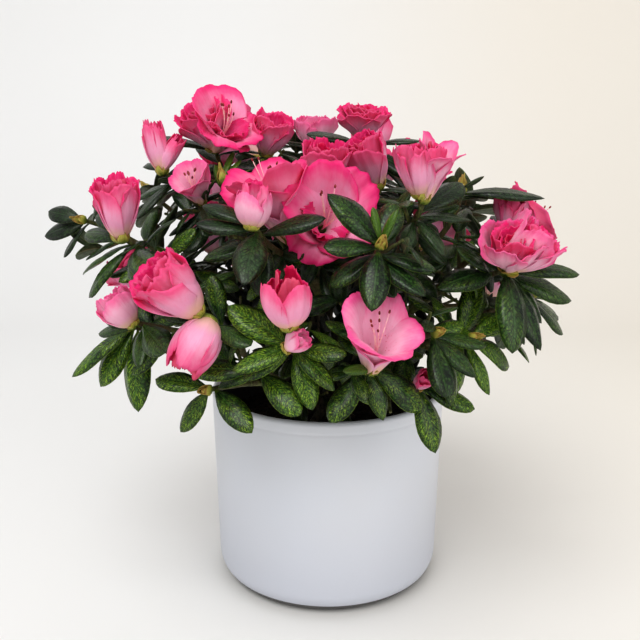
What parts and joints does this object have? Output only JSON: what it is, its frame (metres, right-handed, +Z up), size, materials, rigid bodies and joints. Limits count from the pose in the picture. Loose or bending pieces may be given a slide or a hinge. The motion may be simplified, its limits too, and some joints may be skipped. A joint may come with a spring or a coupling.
{
  "type": "potted azalea shrub",
  "caption": "Compact azalea shrub in bloom, with leafy twigs and ruffled blossom on a short forked trunk, growing in a straight round glazed pot.",
  "frame": {"origin": "centre of the pot's flat underside", "axes": "+Z up, the front of the plant faces -Y, +X to its right as seen from the front"},
  "size_m": [0.3302, 0.3317, 0.3152],
  "materials": {
    "glaze": "satin",
    "peat": "matte",
    "bark": "matte",
    "foliage": "satin",
    "blossom": "satin"
  },
  "bodies": {
    "root": {"pot": "glaze", "root_ball": "peat", "trunk": "bark", "bough_left_high": "bark", "bough_top_left": "bark", "bough_left_mid": "bark", "bough_left_low": "bark", "bough_front_low_left": "bark", "bough_front_high": "bark", "bough_top_front": "bark", "bough_front_low": "bark", "bough_front_low_right": "bark", "bough_right_high": "bark", "bough_right_mid": "bark", "bough_right_low": "bark", "bough_right_side": "bark", "bough_right_back_low": "bark", "bough_back_right": "bark", "bough_back_low": "bark", "bough_back_left": "bark", "bough_left_back_low": "bark", "bough_left_back": "bark", "bough_left_side_low": "bark", "foliage_left_high": "foliage", "foliage_top_left": "foliage", "foliage_left_mid": "foliage", "foliage_left_low": "foliage", "foliage_front_low_left": "foliage", "foliage_front_high": "foliage", "foliage_top_front": "foliage", "foliage_front_low": "foliage", "foliage_front_low_right": "foliage", "foliage_right_high": "foliage", "foliage_right_mid": "foliage", "foliage_right_low": "foliage", "foliage_right_side": "foliage", "foliage_right_back_low": "foliage", "foliage_back_right": "foliage", "foliage_back_low": "foliage", "foliage_back_left": "foliage", "foliage_left_back_low": "foliage", "foliage_left_back": "foliage", "foliage_left_side_low": "foliage"}
  },
  "joints": []
}
